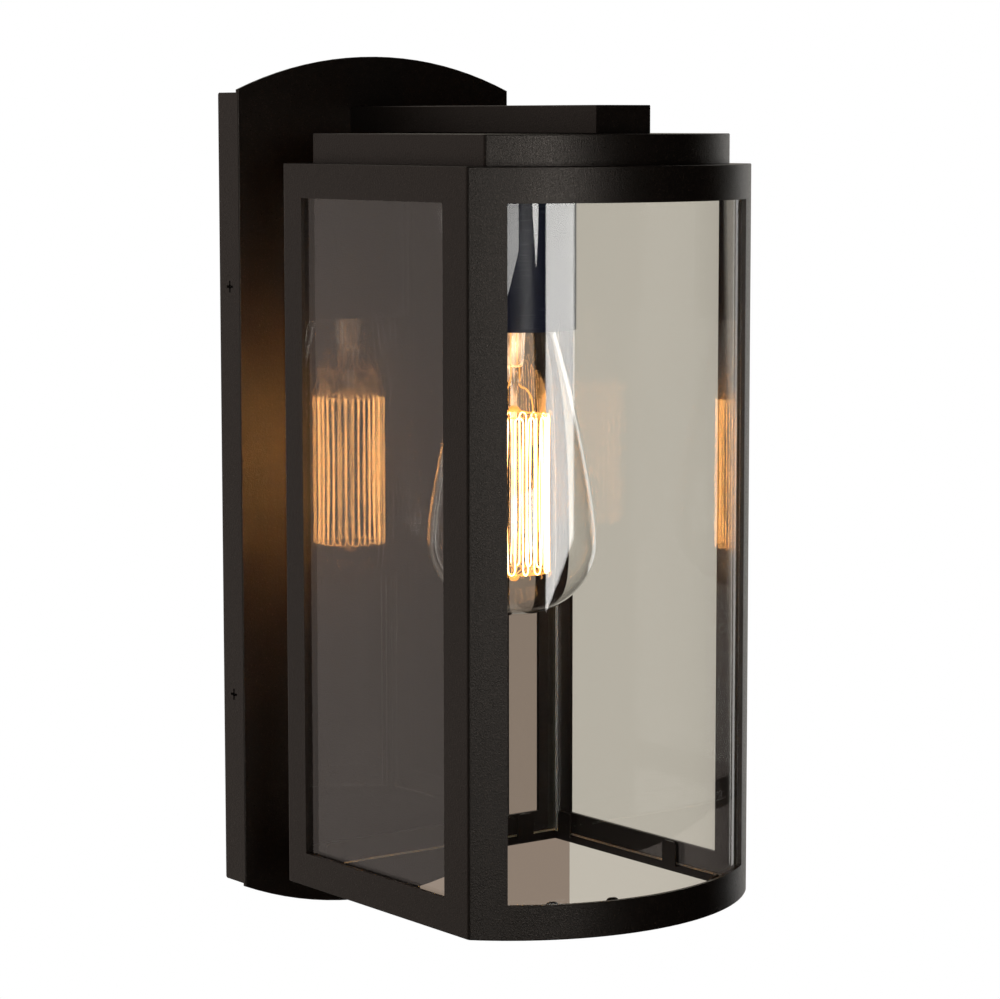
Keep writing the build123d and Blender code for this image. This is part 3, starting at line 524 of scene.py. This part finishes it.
STEM_WIRE_ZERO = CAP_RIM - 73 * MM  # the level that the wires' heights start from
STEM_WIRE_RADIUS = 0.3 * MM
STEM_WIRE_TURN = 0.35  # of the wires' plane about the lamp's axis, in radians
PINCH_START = 15 * MM  # down from the stem's top, as is the end
PINCH_END = 31 * MM
PINCH_LEAD_IN = 8 * MM
PINCH_LEAD_OUT = 4 * MM
BEAD_RADIUS = 1.65 * MM  # the rod's rounded end
BEAD_HEIGHT = 0.8 * MM
CAP_RADIUS = float(high("bulb_cap")[0])
THREAD_PITCH = 3.629 * MM
THREAD_DEPTH = 0.7 * MM
CAP_WALL = 0.4 * MM
RIM_COLLAR = 1.5 * MM  # plain band under the thread, at the cap's rim
END_COLLAR = 2.5 * MM  # and past it, at the cap's end
THREAD_FADE = 2 * MM


def clamped_spline(x, y, first_slope, last_slope, at):
    """A cubic spline through the points with both end slopes given: the slopes between come from one linear
    system that makes the curvature continuous, and each stretch is a Hermite cubic."""
    gap = np.diff(x)
    rise = np.diff(y) / gap
    inner = len(x) - 2
    system = np.eye(len(x))
    right = np.empty(len(x))
    row = np.arange(1, inner + 1)
    system[row, row - 1] = gap[1:]
    system[row, row] = 2 * (gap[:-1] + gap[1:])
    system[row, row + 1] = gap[:-1]
    right[row] = 3 * (gap[1:] * rise[:-1] + gap[:-1] * rise[1:])
    right[[0, -1]] = first_slope, last_slope
    slope = np.linalg.solve(system, right)
    i = np.clip(np.searchsorted(x, at, side="right") - 1, 0, inner)
    t = (at - x[i]) / gap[i]
    ends = y[i] * (1 + 2 * t) * (1 - t) ** 2 + y[i + 1] * t**2 * (3 - 2 * t)
    return ends + gap[i] * (slope[i] * t * (1 - t) ** 2 - slope[i + 1] * t**2 * (1 - t))


def eased(start, end, count):
    """Places from start to end, closer together at both."""
    return start + (end - start) * (0.5 - 0.5 * np.cos(np.linspace(0, math.pi, count)))


def lamp_profile(wall):
    """Radius and height of the lamp's glass, a wall in from its outside, from the neck down to the pole: a
    straight neck, a flare into the shoulder, the shoulder's spline and a quarter of an ellipse."""
    flare = np.linspace(0, SHOULDER_BELOW[0], 10)[:-1]
    shoulder = np.linspace(SHOULDER_BELOW[0], SHOULDER_BELOW[-1], 90)
    quarter = np.linspace(0, math.pi / 2, 48)[1:]
    flare_ends = np.array([0, SHOULDER_BELOW[0]]), np.array([NECK_RADIUS, SHOULDER_RADIUS[0]])
    radius = np.concatenate([
        [NECK_RADIUS - wall, NECK_RADIUS - wall],
        clamped_spline(*flare_ends, NECK_SLOPE, SHOULDER_SLOPE, flare) - wall,
        clamped_spline(SHOULDER_BELOW, SHOULDER_RADIUS, SHOULDER_SLOPE, 0.0, shoulder) - wall,
        (SHOULDER_RADIUS[-1] - wall) * np.cos(quarter)])
    height = np.concatenate([
        [NECK_TOP, (NECK_TOP + CAP_RIM) / 2],
        CAP_RIM - flare,
        CAP_RIM - shoulder,
        LAMP_WIDEST - (LAMP_DOME - wall) * np.sin(quarter)])
    radius[-1] = 0.0
    return radius, height


def lamp_envelope():
    """The lamp's glass: its outer and its inner profile turned round the axis, joined at the neck's end."""
    outer_radius, outer_height = lamp_profile(0.0)
    inner_radius, inner_height = lamp_profile(LAMP_WALL)
    outer = turned(outer_radius[::-1], outer_height[::-1], 128)
    inner = turned(inner_radius, inner_height, 128)
    rim = turned(np.array([outer_radius[0], inner_radius[0]]), np.array([NECK_TOP, NECK_TOP]), 128)
    piece("lamp_envelope", together([outer, rim, inner]), "bulb", "lamp_glass", ["bulb_glass"])


def stem():
    """The glass stem: a flared tube, pinched flat where the wires are sealed in, the rod below it and the
    rod's rounded end. The pinch halves its thickness, with a smooth step at its start and at its end."""
    down = eased(0.0, STEM_BELOW[-1], 60)
    width = clamped_spline(STEM_BELOW, STEM_RADIUS, STEM_SLOPE, 0.0, down)
    bead = np.linspace(math.pi / 2, 0, 8)
    rod_low = ROD_END + 2 * BEAD_HEIGHT
    outside = np.concatenate([width, [ROD_RADIUS], BEAD_RADIUS * np.sin(bead)])
    outside_level = np.concatenate([STEM_TOP - down, [rod_low], ROD_END + BEAD_HEIGHT * (1 - np.cos(bead))])
    hollow = down[down < STEM_HOLLOW]
    inside = np.maximum(clamped_spline(STEM_BELOW, STEM_RADIUS, STEM_SLOPE, 0.0, hollow) - STEM_WALL, 0.0)
    inside[-1] = 0.0
    vertices, quads = turned(np.concatenate([inside[::-1], outside]),
                             np.concatenate([STEM_TOP - hollow[::-1], outside_level]), 64)
    under = STEM_TOP - vertices[:, 2]
    pinch = (np.clip((under - PINCH_START) / PINCH_LEAD_IN, 0, 1)
             * np.clip((PINCH_END - under) / PINCH_LEAD_OUT, 0, 1))
    pinch = pinch**2 * (3 - 2 * pinch)
    vertices[:, 1] = LAMP_Y + (vertices[:, 1] - LAMP_Y) * (1 - 0.5 * pinch)
    piece("lamp_stem", (vertices, quads), "bulb", "lamp_glass", ["bulb_stem"], [STEM_GLASS])


def around_lamp(path, angles):
    """Copies of a path turned about the lamp's axis. The path is given with the axis at the origin."""
    c, s = np.cos(angles)[:, None], np.sin(angles)[:, None]
    x = LAMP_X + path[:, 0] * c - path[:, 1] * s
    y = LAMP_Y + path[:, 0] * s + path[:, 1] * c
    return np.stack([x, y, np.broadcast_to(path[:, 2], x.shape)], -1)


def stem_wires():
    """The two supply wires: sealed in the stem, out through the pinch and down to the cage's top ring."""
    corners = STEM_WIRE + (0, 0, STEM_WIRE_ZERO)
    paths = around_lamp(smooth_path(corners, 60), STEM_WIRE_TURN + np.array([0, math.pi]))
    shape = together([tube(path, STEM_WIRE_RADIUS, 8, (0.3, 1, 0)) for path in paths])
    # the supply wires carry the supports' painted glow
    piece("stem_wires", shape, "bulb", "filament_wire", ["bulb_lead_wires"], [FINISHES["support_wire_painted_glow"]])


HOOKS = 16
LOOP_RISE = 2.2 * MM  # height of the filament's round ends
STRAND_RADIUS = 0.26 * MM
SPOKE_RADIUS = 0.13 * MM
RING_RADIUS = 0.2 * MM
HUB_RADIUS = 1.9 * MM  # the bead that the spokes come out of
HUB_HALF_HEIGHT = 1.3 * MM
HUB_RISE = 2.4 * MM  # from the ring's level to the bead's middle
SPOKE = np.array([[0.9, 0, 2.2], [4.5, 0, 1.3], [9.5, 0, 0.3], [13.0, 0, 0.0], [14.1, 0, 0.5], [14.3, 0, 1.3],
                  [13.7, 0, 1.7]]) * MM  # out from the axis, and away from the cage's middle


def cage_supports():
    """At each end of the cage: a bead on the rod, spokes that bow a little, a curled hook at each spoke's
    end and the ring that the strands hang on."""
    ring_turn = np.linspace(0, TAU, 120, endpoint=False)
    bead = np.linspace(0, math.pi, 12)
    parts = []
    for level, way, shift in ((CAGE_TOP, 1, 0.0), (CAGE_BOTTOM, -1, 0.5)):
        angles = (np.arange(HOOKS) + shift) * TAU / HOOKS
        spoke = SPOKE * (1, 1, way) + (0, 0, level)
        spokes = around_lamp(smooth_path(spoke, 24), angles)
        parts += [tube(path, SPOKE_RADIUS, 6, (0.0, 0.02, 1.0)) for path in spokes]
        ring = np.stack([LAMP_X + CAGE_RADIUS * np.cos(ring_turn), LAMP_Y + CAGE_RADIUS * np.sin(ring_turn),
                         np.full_like(ring_turn, level)], -1)
        parts.append(tube(ring, RING_RADIUS, 6, (0, 0, 1), closed=True))
        hub_level = level + way * HUB_RISE + HUB_HALF_HEIGHT * np.cos(bead)
        parts.append(turned(HUB_RADIUS * np.sin(bead), hub_level, 32))
    # the supports carry a painted glow
    piece("cage_supports", together(parts), "bulb", "filament_wire", ["filament_supports"],
          [FINISHES["support_wire_painted_glow"]])


def cage_filament():
    """One wire round the cage: straight runs up and down, each a little out of line by its own amount, joined
    above and below by half an ellipse."""
    runs = 2 * HOOKS
    chance = np.random.default_rng(7)
    place = (np.arange(runs) + chance.uniform(-0.2, 0.2, runs))[:, None] * TAU / runs
    following = np.roll(place, -1, axis=0)
    following[-1] += TAU
    lean = chance.uniform(-0.05, 0.05, (runs, 1))
    bow = chance.uniform(-0.6, 0.1, (runs, 1)) * MM
    way = np.where(np.arange(runs) % 2 == 0, 1.0, -1.0)[:, None]
    share = np.linspace(0.0, 1.0, 14)
    round_end = np.linspace(0.0, math.pi, 13)[1:-1]
    bulge = np.sin(math.pi * share)
    half_run = (CAGE_TOP - CAGE_BOTTOM) / 2 - LOOP_RISE
    turn = np.hstack([place + lean * bulge,
                      (place + following) / 2 - (following - place) / 2 * np.cos(round_end)]).ravel()
    level = np.hstack([way * half_run * (1 - 2 * share),
                       -way * (half_run + LOOP_RISE * np.sin(round_end))]).ravel()
    radius = CAGE_RADIUS + np.hstack([bow * bulge, np.zeros((runs, len(round_end)))]).ravel()
    path = np.stack([LAMP_X + radius * np.cos(turn), LAMP_Y + radius * np.sin(turn),
                     (CAGE_TOP + CAGE_BOTTOM) / 2 + level], -1)
    outward = np.stack([np.cos(turn), np.sin(turn), 0 * turn], -1)
    piece("cage_filament", tube(path, STRAND_RADIUS, 8, outward, closed=True), "bulb", "filament_wire",
          ["bulb_filament"])


def screw_cap():
    """The lamp's screw cap: a thin shell whose radius swells by half a cosine along the thread's helix, and
    fades into a plain collar at both ends."""
    turn = np.linspace(0, TAU, 120, endpoint=False)
    level = np.linspace(CAP_RIM, CAP_END, 150)[:, None]
    phase = (level - CAP_RIM) / THREAD_PITCH - turn / TAU
    fade = (np.clip((level - CAP_RIM - RIM_COLLAR) / THREAD_FADE, 0, 1)
            * np.clip((CAP_END - END_COLLAR - level) / THREAD_FADE, 0, 1))
    swell = (0.5 - 0.5 * np.cos(TAU * phase)) ** 0.8
    radius = CAP_RADIUS - THREAD_DEPTH * (1 - fade * swell)
    rings = np.concatenate([radius, radius[::-1] - CAP_WALL])
    levels = np.concatenate([level, level[::-1]])
    points = np.stack([LAMP_X + rings * np.cos(turn), LAMP_Y + rings * np.sin(turn),
                       np.broadcast_to(levels, rings.shape)], -1)
    piece("lamp_cap", net(points, wrap_u=True, wrap_v=True), "bulb", "cap_metal", ["bulb_cap"], crease=50)


lamp_envelope()
stem()
stem_wires()
cage_supports()
cage_filament()
screw_cap()
dress_cad_nodes()


# ---- camera ----
CAMERA_PLACE = (-0.7566, -1.1142, 0.1461)
CAMERA_DOWN = 6.544  # degrees below level
CAMERA_TILT = 0.054
CAMERA_HEADING = -36.647  # degrees from straight at the wall, to the right
camera_data = bpy.data.cameras.new("camera")
camera_data.lens = 119.3
camera_data.sensor_width = 36.0
camera_data.clip_end = 100.0
camera = bpy.data.objects.new("camera", camera_data)
camera.location = CAMERA_PLACE
camera.rotation_euler = np.radians((90 - CAMERA_DOWN, CAMERA_TILT, CAMERA_HEADING)).tolist()
bpy.context.scene.collection.objects.link(camera)
bpy.context.scene.camera = camera


# ---- studio ----
ROOM_LIGHT = (0.010, 0.009, 0.009)
BACK_LIGHT = (0.30, 0.265, 0.24)  # straight behind the lantern
LEFT_LIGHT = (0.47, 0.405, 0.37)  # behind it, to the left
RIGHT_LIGHT = (0.575, 0.53, 0.455)  # behind it, to the right: what shows through the panes
WHITE = (1, 1, 1, 1)
FLOOR_REACH = 60.0
FLOOR_LEVEL = -0.55
CARD_BROWN = (0.285, 0.222, 0.175)
CARD_SIDES = (0.12, 0.345)
CARD_BEHIND = 0.30
CARD_LEVELS = (-0.30, 0.14)
BOW_POINT = (-0.038, -0.184)  # where the bow glass shows the panels
PANEL_DISTANCE = 1.6
PANEL_COLOUR = (1.0, 0.985, 0.955)
PANEL_TOP = 0.40


def card(name, corners, material):
    """A flat stage piece through its corners."""
    mesh = bpy.data.meshes.new(name)
    mesh.from_pydata(corners, [], [tuple(range(len(corners)))])
    mesh.materials.append(material)
    made = bpy.data.objects.new(name, mesh)
    bpy.context.scene.collection.objects.link(made)


def studio_floor():
    """A pale floor, far enough down to lie outside the lantern's own shade."""
    f = Finish("studio_floor")
    place = f.node("ShaderNodeSeparateXYZ", None, {0: f.place})
    across = f.ramp(f.span(f.out(place, "X"), -1.0, 1.0, 0.0, 1.0), (0.0, LEFT_LIGHT), (1.0, RIGHT_LIGHT))
    behind = f.span(f.out(place, "Y"), 0.2, 1.0, 0.0, 1.0)
    shade = f.mix(behind, (*ROOM_LIGHT, 1), across)
    corners = [(x * FLOOR_REACH, y * FLOOR_REACH, FLOOR_LEVEL)
               for x, y in ((-1, -1), (1, -1), (1, 1), (-1, 1))]
    card("floor", corners, f.close(f.seen_and_lit(f.light(WHITE), f.light(shade))))


def studio_world():
    """A white surround for the camera. For everything else the surround's light depends on its direction:
    pale behind the lantern, mid gray to its left, and dark in front, to the right and above."""
    f = Surround("studio")

    def pale(axis, start, end, before, colour):
        """A colour that takes over where the direction leans along an axis."""
        lean = f.out(f.node("ShaderNodeVectorMath", {"operation": "DOT_PRODUCT"}, {
            0: f.place, 1: axis}), "Value")
        much = f.out(f.node("ShaderNodeMapRange", {"interpolation_type": "SMOOTHSTEP"}, {
            "Value": lean, "From Min": start, "From Max": end}))
        return f.mix(much, before, (*colour, 1))

    room = pale((0, 1, 0), 0.0, 0.8, (*ROOM_LIGHT, 1), BACK_LIGHT)
    room = pale((-0.6, 0.8, 0), 0.45, 0.9, room, LEFT_LIGHT)
    room = pale((0.6, 0.8, 0), 0.72, 0.80, room, RIGHT_LIGHT)
    seen, lit = (f.out(f.node("ShaderNodeBackground", None, {"Color": colour})) for colour in (WHITE, room))
    bpy.context.scene.world = f.close(f.seen_and_lit(seen, lit))


def back_card():
    """A brown card behind the lantern, to the right of its backplate. It is hidden from the camera, and
    shows only through glass."""
    f = Finish("back_card")
    hidden = f.out(f.node("ShaderNodeBsdfTransparent"))
    left, right = CARD_SIDES
    bottom, top = CARD_LEVELS
    corners = [(x, CARD_BEHIND, z) for x, z in ((left, bottom), (right, bottom), (right, top), (left, top))]
    card("back_card", corners, f.close(f.seen_and_lit(hidden, f.light((*CARD_BROWN, 1)))))


def softbox(name, corners, radiance):
    """An upright light panel that the camera sees only in reflections. Each corner is an azimuth, in degrees
    from straight ahead of the bow towards the left, and a height in metres."""
    azimuth, height = np.array(corners).T
    azimuth = np.radians(azimuth)
    points = np.stack([BOW_POINT[0] - PANEL_DISTANCE * np.sin(azimuth),
                       BOW_POINT[1] - PANEL_DISTANCE * np.cos(azimuth), height], -1)
    f = Finish(name)
    hidden = f.out(f.node("ShaderNodeBsdfTransparent"))
    card(name, points.tolist(), f.close(f.seen_and_lit(hidden, f.light((*PANEL_COLOUR, 1), radiance))))


studio_floor()
studio_world()
back_card()
softbox("panel_a", [(19.5, -0.269), (5.6, -0.204), (5.6, PANEL_TOP), (19.5, PANEL_TOP)], 7.2)
softbox("panel_c", [(26.1, 0.07), (24.3, 0.022), (23.3, 0.055), (23.3, PANEL_TOP), (26.1, PANEL_TOP)], 7.2)
softbox("panel_b", [(39.6, -0.005), (38.0, 0.0), (32.8, 0.037), (32.8, PANEL_TOP), (39.6, PANEL_TOP)], 3.6)
softbox("panel_left", [(60.0, -0.6), (41.0, -0.6), (41.0, PANEL_TOP), (60.0, PANEL_TOP)], 2.3)
softbox("panel_right", [(-104.0, -0.8), (-119.0, -0.8), (-119.0, 1.0), (-104.0, 1.0)], 1.2)

scene = bpy.context.scene
scene.view_settings.view_transform = "Standard"
scene.view_settings.look = "None"
scene.cycles.use_denoising = True
scene.cycles.caustics_reflective = False
scene.cycles.caustics_refractive = False
scene.cycles.max_bounces = 16
scene.cycles.transmission_bounces = 16
scene.cycles.glossy_bounces = 8
scene.cycles.transparent_max_bounces = 16
scene.cycles.sample_clamp_indirect = 8.0
